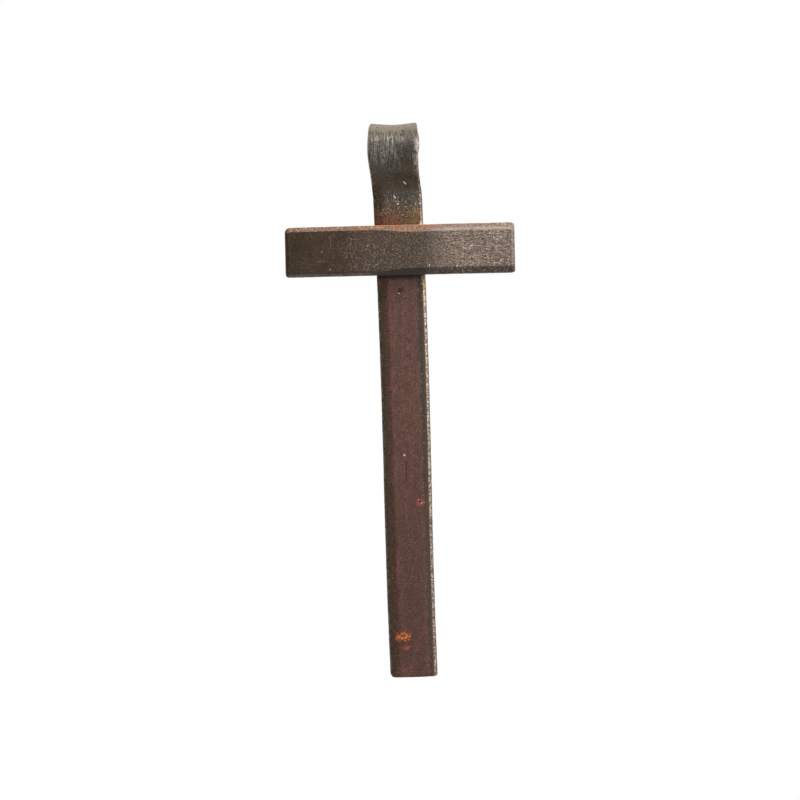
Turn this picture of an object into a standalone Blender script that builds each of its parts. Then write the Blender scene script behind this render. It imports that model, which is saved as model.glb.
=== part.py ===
"""Hand-forged iron cross to hang up, in metres, with +Z up and the front facing -Y.

The upright is a flat bar. Its top is leaned forward at the neck and rolled back and down into an eye, and
the crossbar, a shorter flat bar whose arms are swept back a little, lies across its front below the neck.
The origin is where a cord, ring or hook bears: the highest point inside the eye, at the middle of its width.
"""

import math

import bmesh
import bpy
from mathutils import Vector

# Upright bar
UPRIGHT_REACH_DOWN = 0.2135
UPRIGHT_WIDTH_AT_NECK = 0.0195
UPRIGHT_WIDTH_AT_FOOT = 0.0187
UPRIGHT_THICKNESS = 0.00635
UPRIGHT_BEVEL_WIDTH = 0.0041
UPRIGHT_BEVEL_DEPTH = 0.0007
UPRIGHT_EDGE_ROUND_LEFT = 0.0012
UPRIGHT_EDGE_ROUND_RIGHT = 0.0017
UPRIGHT_BACK_ROUND = 0.0009
UPRIGHT_BOW_RIGHT = 0.00043
UPRIGHT_BOW_LEFT = 0.00018
UPRIGHT_BOW_CHANGE = 0.64
FOOT_CORNER_LEFT = 0.0020
FOOT_CORNER_RIGHT = 0.0009
FOOT_EDGE_ROUND = 0.0007

# Eye
EYE_BORE = 0.0160
EYE_THICKNESS = 0.0043
EYE_TOP_THICKNESS = 0.0045
EYE_TIP_THICKNESS = 0.0024
EYE_NECK_RADIUS = 0.0140
EYE_LEAN = math.radians(42)
EYE_TIP_ANGLE = math.radians(276)
EYE_SADDLE_LEFT = 0.0012
EYE_SADDLE_RIGHT = 0.0011
EYE_EDGE_ROUND = 0.0011
EYE_TIP_CORNER = 0.0022
# Round the eye from its front, in degrees: how far it is set over to the left, and how much wider
# than the bar each side is hammered.
EYE_SET = (
    (-84, 0.0, 0.0),
    (-42, 0.00083, -0.00011),
    (0, 0.00127, 0.00027),
    (22, 0.00092, 0.00056),
    (60, 0.00093, -0.00005),
    (90, 0.00066, -0.00040),
    (180, 0.00040, -0.00050),
    (276, 0.00010, -0.00090),
)

# Crossbar
CROSSBAR_REACH_DOWN = 0.0454
CROSSBAR_LENGTH = 0.0903
CROSSBAR_HEIGHT_LEFT = 0.0197
CROSSBAR_HEIGHT_RIGHT = 0.0200
CROSSBAR_THICKNESS = 0.00635
CROSSBAR_TILT = math.radians(0.58)
CHAMFER_TOP_LEFT = 0.0013
CHAMFER_TOP_RIGHT = 0.0023
CHAMFER_BOTTOM_LEFT = 0.0007
CHAMFER_BOTTOM_RIGHT = 0.0021
CHAMFER_SLOPE = 0.74
CHAMFER_CHANGE_FROM = -0.010
CHAMFER_CHANGE_TO = 0.003
CROSSBAR_EDGE_ROUND = 0.0005
CROSSBAR_BACK_ROUND = 0.0007
CROSSBAR_SWEEP = math.radians(4.5)
CROSSBAR_BEND_SOFTNESS = 0.0022
BEND_PAST_UPRIGHT_LEFT = 0.0078
BEND_PAST_UPRIGHT_RIGHT = 0.0014
END_CHAMFER_LEFT = 0.0007
END_CHAMFER_RIGHT = 0.0013
END_CHAMFER_DEPTH = 0.0010
END_CORNER_TOP_LEFT = 0.0021
END_CORNER_BOTTOM_LEFT = 0.0012
END_CORNER_RIGHT = 0.0020
END_CORNER_RIGHT_FLATNESS = 0.45

# Fit and fineness
JOINT_GAP = 0.0003
SHAFT_STATIONS = 22
NECK_STATIONS = 9
EYE_STEP = math.radians(6)
ARM_STATIONS = 24
FRONT_ROUND_STEPS = 4
BACK_ROUND_STEPS = 3
CORNER_STEPS = 5


def clear_scene():
    """An empty scene, with nothing of the start-up file left in it."""
    for thing in list(bpy.data.objects):
        bpy.data.objects.remove(thing, do_unlink=True)


def smooth_step(share):
    """0 to 1 with no kink at either end."""
    share = min(max(share, 0.0), 1.0)
    return share * share * (3 - 2 * share)


def read_smoothly(rows, at):
    """The values after the first in rows, at a place between their first values, on one smooth curve."""
    at = min(max(at, rows[0][0]), rows[-1][0])
    after = next(i for i in range(1, len(rows)) if at <= rows[i][0])
    before = after - 1
    outer_before = rows[max(before - 1, 0)]
    outer_after = rows[min(after + 1, len(rows) - 1)]
    start, end = rows[before], rows[after]
    step = end[0] - start[0]
    share = (at - start[0]) / step
    values = []
    for k in range(1, len(start)):
        slope_in = (end[k] - outer_before[k]) / (end[0] - outer_before[0]) * step
        slope_out = (outer_after[k] - start[k]) / (outer_after[0] - start[0]) * step
        value = start[k] * (1 + 2 * share) * (1 - share) ** 2
        value += slope_in * share * (1 - share) ** 2
        value += end[k] * share**2 * (3 - 2 * share)
        value += slope_out * share**2 * (share - 1)
        values.append(value)
    return values


def corner_inset(size, from_end):
    """How far a rounded corner of this size pulls a side in, so far from the bar's end."""
    left = max(size - from_end, 0.0)
    return size - math.sqrt(size**2 - left**2)


def half_section(reach, thickness, edge, back_round):
    """One half of a flat bar's section, from the middle of its front to the middle of its back.

    The edge is its bevel's width and depth, and the radius that it is rounded to.
    """
    bevel_width, bevel_depth, front_round = edge
    flat = reach - bevel_width
    front, back = thickness / 2, -thickness / 2
    points = [(flat / 2, front), (flat, front)]
    for step in range(FRONT_ROUND_STEPS + 1):
        turn = math.pi / 2 * step / FRONT_ROUND_STEPS
        points.append(
            (
                reach - front_round * (1 - math.sin(turn)),
                front - bevel_depth - front_round * (1 - math.cos(turn)),
            )
        )
    for step in range(BACK_ROUND_STEPS + 1):
        turn = math.pi / 2 * step / BACK_ROUND_STEPS
        points.append(
            (
                reach - back_round * (1 - math.cos(turn)),
                back + back_round * (1 - math.sin(turn)),
            )
        )
    points.append((flat / 2, back))
    return points


def bar_section(left, right, thickness, edges, back_round, saddle=(0.0, 0.0)):
    """Points (across, out) all round a flat bar's section, with its left and its right edge.

    The saddle lifts the left and the right edge.
    """
    right_half = half_section(right, thickness, edges[1], back_round)
    left_half = half_section(left, thickness, edges[0], back_round)
    points = [(0.0, thickness / 2)]
    points += [(x, out + saddle[1] * (x / right) ** 2) for x, out in right_half]
    points.append((0.0, -thickness / 2))
    points += [(-x, out + saddle[0] * (x / left) ** 2) for x, out in reversed(left_half)]
    return points


def make_bar(name, rings, material):
    """A closed bar: the first ring filled, extruded from ring to ring, and closed at the last."""
    shape = bmesh.new()
    first = [shape.verts.new(point) for point in rings[0]]
    leading = shape.faces.new(first)
    for ring in rings[1:]:
        grown = bmesh.ops.extrude_discrete_faces(shape, faces=[leading])
        leading = grown["faces"][0]
        for corner, point in zip(leading.verts, ring):
            corner.co = point
    shape.faces.new(reversed(first))
    bmesh.ops.recalc_face_normals(shape, faces=shape.faces)
    mesh = bpy.data.meshes.new(name)
    shape.to_mesh(mesh)
    shape.free()
    mesh.shade_smooth()
    mesh.set_sharp_from_angle(angle=math.radians(28))
    mesh.materials.append(material)
    bar = bpy.data.objects.new(name, mesh)
    bpy.context.scene.collection.objects.link(bar)
    return bar


def iron(name, colour, roughness, metallic):
    """Old forged iron, browned by rust."""
    material = bpy.data.materials.new(name)
    material.use_nodes = True
    shader = material.node_tree.nodes["Principled BSDF"]
    shader.inputs["Base Color"].default_value = (*colour, 1.0)
    shader.inputs["Roughness"].default_value = roughness
    shader.inputs["Metallic"].default_value = metallic
    return material


# The eye's centre lies behind the bar by what the lean and the two bends leave over.
EYE_CENTRE_Z = -EYE_BORE / 2
EYE_MIDDLE_RADIUS = EYE_BORE / 2 + EYE_THICKNESS / 2
BEND_RADII = EYE_NECK_RADIUS + EYE_MIDDLE_RADIUS
BAR_PLANE_Y = EYE_NECK_RADIUS - BEND_RADII * math.cos(EYE_LEAN)
NECK_Z = EYE_CENTRE_Z - BEND_RADII * math.sin(EYE_LEAN)
FOOT_Z = -UPRIGHT_REACH_DOWN


def upright_width(z):
    """The bar tapers evenly from the neck to the foot."""
    share = (NECK_Z - z) / (NECK_Z - FOOT_Z)
    return UPRIGHT_WIDTH_AT_NECK + (UPRIGHT_WIDTH_AT_FOOT - UPRIGHT_WIDTH_AT_NECK) * share


def upright_bow(z):
    """The bar wanders a little: to the right over its upper part, and back to the left near its foot."""
    down = (NECK_Z - z) / (NECK_Z - FOOT_Z)
    if down < UPRIGHT_BOW_CHANGE:
        return UPRIGHT_BOW_RIGHT * math.sin(math.pi * down / UPRIGHT_BOW_CHANGE)
    past = (down - UPRIGHT_BOW_CHANGE) / (1 - UPRIGHT_BOW_CHANGE)
    return -UPRIGHT_BOW_LEFT * math.sin(math.pi * past)


def strip_form(round_eye):
    """The section of the strip, so many radians round the eye from its front, the neck below zero.

    The bar is drawn down to the eye's thickness within the neck, so the two bends meet in line.
    """
    set_over, spread = read_smoothly(EYE_SET, math.degrees(round_eye))
    start, top, tip = -2 * EYE_LEAN, math.pi / 2, EYE_TIP_ANGLE
    into_eye = smooth_step((round_eye - start) / EYE_LEAN)
    thickness = UPRIGHT_THICKNESS + (EYE_THICKNESS - UPRIGHT_THICKNESS) * into_eye
    thickness += (EYE_TOP_THICKNESS - EYE_THICKNESS) * smooth_step(round_eye / top)
    thickness += (EYE_TIP_THICKNESS - EYE_TOP_THICKNESS) * smooth_step((round_eye - top) / (tip - top))
    half = UPRIGHT_WIDTH_AT_NECK / 2 + spread
    corner = corner_inset(EYE_TIP_CORNER, (tip - round_eye) * EYE_MIDDLE_RADIUS)
    edges = []
    for edge_round in (UPRIGHT_EDGE_ROUND_LEFT, UPRIGHT_EDGE_ROUND_RIGHT):
        edge_round += (EYE_EDGE_ROUND - edge_round) * into_eye
        bevel_depth = UPRIGHT_BEVEL_DEPTH * (1 - 0.7 * into_eye)
        edges.append((UPRIGHT_BEVEL_WIDTH, bevel_depth, min(edge_round, thickness * 0.4)))
    return bar_section(
        half + set_over - corner,
        half - set_over - corner,
        thickness,
        edges,
        min(UPRIGHT_BACK_ROUND, thickness * 0.4),
        saddle=(EYE_SADDLE_LEFT * into_eye, EYE_SADDLE_RIGHT * into_eye),
    ), thickness


def upright_rings():
    """The sections of the upright from its foot to the tip of the eye."""
    rings = []
    straight_edges = (
        (UPRIGHT_BEVEL_WIDTH, UPRIGHT_BEVEL_DEPTH, UPRIGHT_EDGE_ROUND_LEFT),
        (UPRIGHT_BEVEL_WIDTH, UPRIGHT_BEVEL_DEPTH, UPRIGHT_EDGE_ROUND_RIGHT),
    )
    foot_corner = max(FOOT_CORNER_LEFT, FOOT_CORNER_RIGHT)
    above_foot = [foot_corner * (step / CORNER_STEPS) ** 2 for step in range(CORNER_STEPS)]
    shaft = NECK_Z - FOOT_Z - foot_corner
    above_foot += [foot_corner + shaft * step / SHAFT_STATIONS for step in range(SHAFT_STATIONS)]
    for rise in above_foot:
        z = FOOT_Z + rise
        half, bow = upright_width(z) / 2, upright_bow(z)
        thin = 2 * corner_inset(FOOT_EDGE_ROUND, rise)
        left = half - corner_inset(FOOT_CORNER_LEFT, rise)
        right = half - corner_inset(FOOT_CORNER_RIGHT, rise)
        section = bar_section(left, right, UPRIGHT_THICKNESS - thin, straight_edges, UPRIGHT_BACK_ROUND)
        rings.append([Vector((bow + x, BAR_PLANE_Y - out, z)) for x, out in section])
    for step in range(NECK_STATIONS):
        lean = EYE_LEAN * step / NECK_STATIONS
        section, _ = strip_form(lean - 2 * EYE_LEAN)
        y = BAR_PLANE_Y - EYE_NECK_RADIUS * (1 - math.cos(lean))
        z = NECK_Z + EYE_NECK_RADIUS * math.sin(lean)
        away = Vector((0.0, -math.cos(lean), -math.sin(lean)))
        rings.append([Vector((x, y, z)) + away * out for x, out in section])
    eye_steps = round((EYE_LEAN + EYE_TIP_ANGLE) / EYE_STEP)
    last_step = (EYE_LEAN + EYE_TIP_ANGLE) / eye_steps
    stations = [-EYE_LEAN + last_step * step for step in range(eye_steps)]
    tip_turn = EYE_TIP_CORNER / EYE_MIDDLE_RADIUS
    stations = [turn for turn in stations if turn < EYE_TIP_ANGLE - tip_turn]
    near_tip = [tip_turn * (step / CORNER_STEPS) ** 2 for step in range(CORNER_STEPS, -1, -1)]
    stations += [EYE_TIP_ANGLE - turn for turn in near_tip]
    for turn in stations:
        section, thickness = strip_form(turn)
        away = Vector((0.0, -math.cos(turn), math.sin(turn)))
        middle = Vector((0.0, 0.0, EYE_CENTRE_Z)) + away * (EYE_BORE + thickness) / 2
        rings.append([Vector((x, 0.0, 0.0)) + middle + away * out for x, out in section])
    return rings


def swept_back(x, bend_at):
    """How far back an arm lies at x, softly bent at bend_at and sloping outwards from there."""
    past = x * math.copysign(1, bend_at) - abs(bend_at)
    return math.tan(CROSSBAR_SWEEP) * (past + math.hypot(past, CROSSBAR_BEND_SOFTNESS)) / 2


def chamfer(left_arm, right_arm, x, dip):
    """A long edge of the crossbar at x, between what its two arms have, and less where its end dips."""
    face = left_arm
    change = (x - CHAMFER_CHANGE_FROM) / (CHAMFER_CHANGE_TO - CHAMFER_CHANGE_FROM)
    face += (right_arm - left_arm) * smooth_step(change)
    depth = face * CHAMFER_SLOPE
    return face + CROSSBAR_EDGE_ROUND, max(depth - dip * 0.85, depth * 0.2), CROSSBAR_EDGE_ROUND


def crossbar_rings():
    """The sections of the crossbar from its left end to its right end."""
    crossing_half = upright_width(-CROSSBAR_REACH_DOWN) / 2
    bend_left = -crossing_half - BEND_PAST_UPRIGHT_LEFT
    bend_right = crossing_half + BEND_PAST_UPRIGHT_RIGHT
    middle_y = BAR_PLANE_Y - UPRIGHT_THICKNESS / 2 - JOINT_GAP - CROSSBAR_THICKNESS / 2
    half = CROSSBAR_LENGTH / 2
    end = max(END_CHAMFER_LEFT, END_CHAMFER_RIGHT, END_CORNER_TOP_LEFT, END_CORNER_RIGHT)
    near_end = [end * (step / CORNER_STEPS) ** 1.5 for step in range(CORNER_STEPS)]
    between = [end + (CROSSBAR_LENGTH - 2 * end) * step / ARM_STATIONS for step in range(ARM_STATIONS + 1)]
    along = near_end + between + [CROSSBAR_LENGTH - run for run in reversed(near_end)]
    rings = []
    for run in along:
        x, to_right = run - half, CROSSBAR_LENGTH - run
        height = CROSSBAR_HEIGHT_LEFT
        height += (CROSSBAR_HEIGHT_RIGHT - CROSSBAR_HEIGHT_LEFT) * run / CROSSBAR_LENGTH
        right_corner = corner_inset(END_CORNER_RIGHT, to_right) * END_CORNER_RIGHT_FLATNESS
        top = height / 2 - corner_inset(END_CORNER_TOP_LEFT, run) - right_corner
        bottom = height / 2 - corner_inset(END_CORNER_BOTTOM_LEFT, run) - right_corner
        into_end = max(0.0, 1 - run / END_CHAMFER_LEFT, 1 - to_right / END_CHAMFER_RIGHT)
        dip = END_CHAMFER_DEPTH * into_end
        back_in = corner_inset(CROSSBAR_BACK_ROUND, min(run, to_right))
        section = bar_section(
            bottom,
            top,
            CROSSBAR_THICKNESS - dip - back_in,
            (
                chamfer(CHAMFER_BOTTOM_LEFT, CHAMFER_BOTTOM_RIGHT, x, dip),
                chamfer(CHAMFER_TOP_LEFT, CHAMFER_TOP_RIGHT, x, dip),
            ),
            CROSSBAR_BACK_ROUND,
        )
        y = middle_y + (dip - back_in) / 2 + swept_back(x, bend_left) + swept_back(x, bend_right)
        ring = []
        for across, out in section:
            place_x = x * math.cos(CROSSBAR_TILT) + across * math.sin(CROSSBAR_TILT)
            place_z = across * math.cos(CROSSBAR_TILT) - x * math.sin(CROSSBAR_TILT) - CROSSBAR_REACH_DOWN
            ring.append(Vector((place_x + upright_bow(-CROSSBAR_REACH_DOWN), y - out, place_z)))
        rings.append(ring)
    return rings


clear_scene()
make_bar("upright", upright_rings(), iron("browned iron", (0.095, 0.058, 0.046), 0.55, 0.6))
make_bar("crossbar", crossbar_rings(), iron("dark rubbed iron", (0.105, 0.080, 0.064), 0.5, 0.7))
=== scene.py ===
# %% [markdown]
# # A hand-forged iron cross
#
# The cross is two flat bars of iron. The upright's top is leaned forward at the neck and rolled over
# into an eye, and the shorter crossbar lies across its front. Both bars left the fire with hammer
# marks, scale pits and softened edges, and years of damp gave them a red-brown film that hands have
# rubbed away along the edges.
#
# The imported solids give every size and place, so the script begins by loading them.

# %% Load the frame
import math

import bmesh
import bpy
import numpy as np
from mathutils import Matrix, Vector, noise


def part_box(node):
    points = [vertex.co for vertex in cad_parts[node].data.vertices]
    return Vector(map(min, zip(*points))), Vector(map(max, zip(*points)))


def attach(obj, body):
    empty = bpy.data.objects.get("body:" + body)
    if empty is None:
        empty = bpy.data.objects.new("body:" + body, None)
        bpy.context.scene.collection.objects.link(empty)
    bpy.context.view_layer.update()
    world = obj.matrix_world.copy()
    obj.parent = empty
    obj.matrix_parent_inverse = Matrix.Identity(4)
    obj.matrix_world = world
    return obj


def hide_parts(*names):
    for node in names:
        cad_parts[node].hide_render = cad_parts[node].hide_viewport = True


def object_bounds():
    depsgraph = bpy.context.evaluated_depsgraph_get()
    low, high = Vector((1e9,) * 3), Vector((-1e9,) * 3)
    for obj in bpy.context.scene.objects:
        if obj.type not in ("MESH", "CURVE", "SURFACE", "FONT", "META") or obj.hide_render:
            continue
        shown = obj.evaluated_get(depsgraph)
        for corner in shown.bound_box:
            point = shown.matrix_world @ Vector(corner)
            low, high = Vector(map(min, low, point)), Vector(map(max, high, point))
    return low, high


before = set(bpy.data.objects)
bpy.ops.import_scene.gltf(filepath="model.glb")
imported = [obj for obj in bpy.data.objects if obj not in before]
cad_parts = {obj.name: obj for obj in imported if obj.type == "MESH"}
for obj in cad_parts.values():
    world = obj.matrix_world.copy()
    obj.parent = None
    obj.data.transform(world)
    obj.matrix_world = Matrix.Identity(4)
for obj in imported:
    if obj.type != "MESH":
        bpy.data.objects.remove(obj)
cad_low, cad_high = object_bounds()
MM = 0.001
print("the solids span", [round(side / MM, 1) for side in cad_high - cad_low], "mm")

# %% [markdown]
# ## Where things are
#
# The photograph was taken square on, with the cross turned two degrees. One pixel of it is a known
# number of millimetres, and the middle of the crossbar lies on a known pixel. Those three values tie
# the small marks that the photograph shows to places on the iron. The box of the crossbar's solid gives
# its middle.

# %% Find the middle of the crossing
crossbar_low, crossbar_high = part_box("crossbar")
crossing = (crossbar_low + crossbar_high) / 2

PHOTO_SIDE = 800
MM_PER_PIXEL = 0.3928
PHOTO_TURN = math.radians(1.99)
CROSSING_PIXEL = (400.0, 250.3)


def from_photo(pixel_x, pixel_y):
    """The place (x, z) in metres, on the cross, of a pixel of the photograph."""
    right = (pixel_x - CROSSING_PIXEL[0]) * MM_PER_PIXEL * MM
    down = (pixel_y - CROSSING_PIXEL[1]) * MM_PER_PIXEL * MM
    x = crossing.x + right * math.cos(PHOTO_TURN) - down * math.sin(PHOTO_TURN)
    z = crossing.z - right * math.sin(PHOTO_TURN) - down * math.cos(PHOTO_TURN)
    return x, z


picture_x, picture_z = from_photo(PHOTO_SIDE / 2, PHOTO_SIDE / 2)
print("the picture's middle is at x", round(picture_x / MM, 1), "z", round(picture_z / MM, 1), "mm")

# %% [markdown]
# ## Camera
#
# A long lens far away flattens a small thing as a product photograph does. The distance follows from
# the lens: the picture is as wide as the photograph at the middle of the crossing. The camera is
# rolled, not the cross.

# %% Set up the camera
LENS = 200
camera_data = bpy.data.cameras.new("camera")
camera_data.lens = LENS
picture_width = PHOTO_SIDE * MM_PER_PIXEL * MM
camera_distance = picture_width * LENS / camera_data.sensor_width
camera = bpy.data.objects.new("camera", camera_data)
bpy.context.scene.collection.objects.link(camera)
camera.matrix_world = (
    Matrix.Translation((picture_x, crossing.y - camera_distance, picture_z))
    @ Matrix.Rotation(math.pi / 2, 4, "X")
    @ Matrix.Rotation(-PHOTO_TURN, 4, "Z")
)
bpy.context.scene.camera = camera
bpy.context.scene.view_settings.view_transform = "Standard"
print("the camera stands", round(camera_distance, 2), "m off")

# %% [markdown]
# ## Nodes and colours
#
# Every finish below is built from nodes. One small function adds a node with its settings and its
# inputs, where an input is a plain value or a socket to link. Colours are picked as sRGB hex values, as
# in a paint program, and a shader needs them linear, which a second function works out.


# %% Add nodes and turn colours to linear
def add(tree, kind, settings=None, inputs=None):
    """A new node. An input given as a socket is linked, and any other is set."""
    made = tree.nodes.new(kind)
    for name, value in (settings or {}).items():
        setattr(made, name, value)
    for name, value in (inputs or {}).items():
        if isinstance(value, bpy.types.NodeSocket):
            tree.links.new(value, made.inputs[name])
        else:
            made.inputs[name].default_value = value
    return made


def linear(hex_colour, alpha=1.0):
    """A colour such as "#5f463e" as the linear red, green, blue and alpha that a shader reads."""
    channels = [int(hex_colour[k : k + 2], 16) / 255 for k in (1, 3, 5)]
    turned = [c / 12.92 if c <= 0.04045 else ((c + 0.055) / 1.055) ** 2.4 for c in channels]
    return (*turned, alpha)


# %% [markdown]
# ## Light
#
# The cross hangs before bright white paper, in a room that is dim in front of it. So the world is
# bright behind and above, and dark ahead: rounded edges mirror the paper, and the faces stay dark. The
# camera sees plain white all round. Three softboxes do the rest. One stands far to the right and rakes
# over the surface, one near the camera gives the soft gloss that parts one arm of the crossbar from the
# other, and one hangs overhead.

# %% Light the cross
world = bpy.data.worlds.new("white paper in a dim room")
bpy.context.scene.world = world
world.use_nodes = True
room = world.node_tree
room.nodes.clear()
AHEAD, BEHIND = 0.07, 0.95
UP_AND_BEHIND = (0.0, 0.85, 0.53)
DUSK_FROM, DUSK_TO = -0.2, 0.8
direction = add(room, "ShaderNodeTexCoord").outputs["Generated"]
turned = add(room, "ShaderNodeVectorMath", {"operation": "DOT_PRODUCT"}, {0: direction, 1: UP_AND_BEHIND})
glow = add(
    room,
    "ShaderNodeMapRange",
    {"interpolation_type": "SMOOTHSTEP"},
    {
        "Value": turned.outputs["Value"],
        "From Min": DUSK_FROM,
        "From Max": DUSK_TO,
        "To Min": AHEAD,
        "To Max": BEHIND,
    },
)
fill = add(room, "ShaderNodeBackground", inputs={"Color": linear("#fdf9f4"), "Strength": glow.outputs[0]})
paper = add(room, "ShaderNodeBackground", inputs={"Color": linear("#ffffff"), "Strength": 1.0})
seen = add(room, "ShaderNodeLightPath").outputs["Is Camera Ray"]
mixed = add(room, "ShaderNodeMixShader", inputs={0: seen, 1: fill.outputs[0], 2: paper.outputs[0]})
add(room, "ShaderNodeOutputWorld", inputs={"Surface": mixed.outputs[0]})


def softbox(name, right, up, distance, width, height, power, colour="#ffffff"):
    """A flat light aimed at the cross, so many degrees to the right of the camera and above it."""
    data = bpy.data.lights.new(name, "AREA")
    data.shape = "RECTANGLE"
    data.size = width
    data.size_y = height
    data.energy = power
    data.color = linear(colour)[:3]
    light = bpy.data.objects.new(name, data)
    bpy.context.scene.collection.objects.link(light)
    middle = (cad_low + cad_high) / 2
    turn, rise = math.radians(right), math.radians(up)
    away = Vector((math.sin(turn) * math.cos(rise), -math.cos(turn) * math.cos(rise), math.sin(rise)))
    towards = away.to_track_quat("Z", "Y").to_matrix().to_4x4()
    light.matrix_world = Matrix.Translation(middle + away * distance) @ towards
    light.visible_camera = False
    return light


softbox("window light", right=68, up=26, distance=0.9, width=0.35, height=0.5, power=9)
softbox("gloss light", right=13, up=15, distance=0.95, width=0.14, height=0.42, power=3.6)
softbox("overhead light", right=8, up=66, distance=0.9, width=0.4, height=0.4, power=6)

# %% [markdown]
# ## Floor
#
# The cross hangs, so the floor is well below it: a pale disc that the camera only sees from above.

# %% Lay the floor
FLOOR_DROP = 0.34
FLOOR_RADIUS = 1.3
disc = bmesh.new()
bmesh.ops.create_circle(disc, cap_ends=True, segments=96, radius=FLOOR_RADIUS)
bmesh.ops.translate(disc, verts=disc.verts, vec=(0, 0, cad_low.z - FLOOR_DROP))
floor_mesh = bpy.data.meshes.new("floor")
disc.to_mesh(floor_mesh)
disc.free()
floor = bpy.data.objects.new("floor", floor_mesh)
bpy.context.scene.collection.objects.link(floor)
floor_paint = bpy.data.materials.new("pale paper")
floor_paint.use_nodes = True
floor_shader = floor_paint.node_tree.nodes["Principled BSDF"]
floor_shader.inputs["Base Color"].default_value = linear("#f4f1ec")
floor_shader.inputs["Roughness"].default_value = 0.8
floor_mesh.materials.append(floor_paint)

# %% [markdown]
# ## A blank for each bar
#
# Hammer marks and pits need many more points than the solids have. A copy of the solid has its loose
# triangles merged and is then remeshed to an even grid of squares, the way a sculptor starts. The
# voxels are about as large as a pixel of the picture. A few rounds of smoothing take out the flats of
# the coarser solid.


# %% Make the blanks
WELD = 1e-6


def blank_from(node, voxel, smoothing):
    """A dense, even mesh in the shape of a solid."""
    shape = bmesh.new()
    shape.from_mesh(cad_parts[node].data)
    bmesh.ops.remove_doubles(shape, verts=shape.verts, dist=WELD)
    coarse = bpy.data.meshes.new(node + " coarse")
    shape.to_mesh(coarse)
    shape.free()
    stand_in = bpy.data.objects.new(node + " coarse", coarse)
    bpy.context.scene.collection.objects.link(stand_in)
    grid = stand_in.modifiers.new("even grid", "REMESH")
    grid.mode = "VOXEL"
    grid.voxel_size = voxel
    ease_flats = stand_in.modifiers.new("ease the flats", "SMOOTH")
    ease_flats.iterations = smoothing
    evaluated = stand_in.evaluated_get(bpy.context.evaluated_depsgraph_get())
    dense = bpy.data.meshes.new_from_object(evaluated)
    bpy.data.objects.remove(stand_in)
    print(node, "blank has", len(dense.polygons), "faces")
    return dense


UPRIGHT_VOXEL, CROSSBAR_VOXEL = 0.385, 0.25
upright_mesh = blank_from("upright", UPRIGHT_VOXEL * MM, smoothing=3)
crossbar_mesh = blank_from("crossbar", CROSSBAR_VOXEL * MM, smoothing=4)

# %% [markdown]
# ## Tools for marking iron
#
# Relief is worked out for all points at once: each kind of mark gives a depth in millimetres, and the
# sum pushes the points in along the surface's normal. Nothing is pushed out, so the iron stays inside
# its solid. Most marks come from Perlin noise, whose lumps are stretched along the bar where the hammer
# drew it out. The few marks that the photograph shows by themselves are placed by their pixel.


# %% Read, shape and mark a mesh
OUTLINE_STEP = 2.0


def read_mesh(mesh):
    """Two arrays: the places of a mesh's points and the normals there."""
    places = np.empty(len(mesh.vertices) * 3, np.float32)
    normals = np.empty(len(mesh.vertices) * 3, np.float32)
    mesh.vertices.foreach_get("co", places)
    mesh.vertices.foreach_get("normal", normals)
    return places.reshape(-1, 3).astype(float), normals.reshape(-1, 3).astype(float)


def lumps(places, size, seed, detail=2):
    """Cloudy noise from about -1 to 1, with lumps of this size in millimetres along x, y and z."""
    scaled = places / (np.array(size) * MM) + seed
    return np.array([noise.fractal(Vector(p), 0.9, 2.1, detail) for p in scaled])


def cells(places, size, seed):
    """The distance to the nearest of scattered points, 0 to about 1, for dents so many millimetres apart."""
    scaled = places / (size * MM) + seed
    return np.array([noise.voronoi(Vector(p))[0][0] for p in scaled])


def ease(values, low, high):
    """0 below low, 1 above high and smooth between. With low above high it falls instead."""
    share = np.clip((values - low) / (high - low), 0, 1)
    return share * share * (3 - 2 * share)


def spot(places, pixel, radius, ragged=0.0):
    """1 at a place seen in the photograph, falling to 0 at so many millimetres across and up.

    The edge is soft, or broken up by grains of rust where ragged is above 0.
    """
    x, z = from_photo(*pixel)
    off = np.hypot((places[:, 0] - x) / (radius[0] * MM), (places[:, 2] - z) / (radius[1] * MM))
    if not ragged:
        return ease(off, 1.0, 0.0)
    near = off < 2
    off[near] += ragged * lumps(places[near], (0.9, 0.9, 0.9), pixel[0])
    return ease(off, 1.0, 0.75)


def stroke(places, start, end, width):
    """1 on the straight line between two pixels, falling to 0 at half its width, which is in millimetres."""
    a, b = np.array(from_photo(*start)), np.array(from_photo(*end))
    off = places[:, [0, 2]] - a
    along = np.clip(off @ (b - a) / ((b - a) @ (b - a)), 0, 1)
    distance = np.linalg.norm(off - along[:, None] * (b - a), axis=1)
    return ease(distance, width / 2 * MM, 0.0)


def below_outline(run, across):
    """How far each point lies inside a bar's upper or right outline, in millimetres."""
    bins = np.round(run / (OUTLINE_STEP * MM)).astype(int)
    bins -= bins.min()
    outline = np.full(bins.max() + 1, -np.inf)
    np.maximum.at(outline, bins, across)
    return (outline[bins] - across) / MM


def press_in(mesh, places, normals, depth):
    """Moves the points in by a depth in millimetres, and keeps the result within the solids' box."""
    moved = places - normals * (depth * MM)[:, None]
    moved = np.clip(moved, np.array(cad_low), np.array(cad_high))
    mesh.vertices.foreach_set("co", moved.astype(np.float32).ravel())
    mesh.update()


def keep_value(mesh, name, values):
    """Stores one number for each point under a name, for a material to read."""
    attribute = mesh.attributes.new(name, "FLOAT", "POINT")
    attribute.data.foreach_set("value", values.astype(np.float32))


# %% [markdown]
# ## The upright
#
# Its front was planished flat between two bevels, which leaves shallow dishes as wide as a hammer's
# face. Fire scale left a fine orange-peel skin and a few deeper pits. The rounded edges carry a row of
# small nicks, the strip was stretched into fine lines where it was rolled round the eye, and grit
# stands on the neck. Low down a blister of rust has lifted the film. Each kind of mark has its own
# depth, in millimetres.

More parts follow.
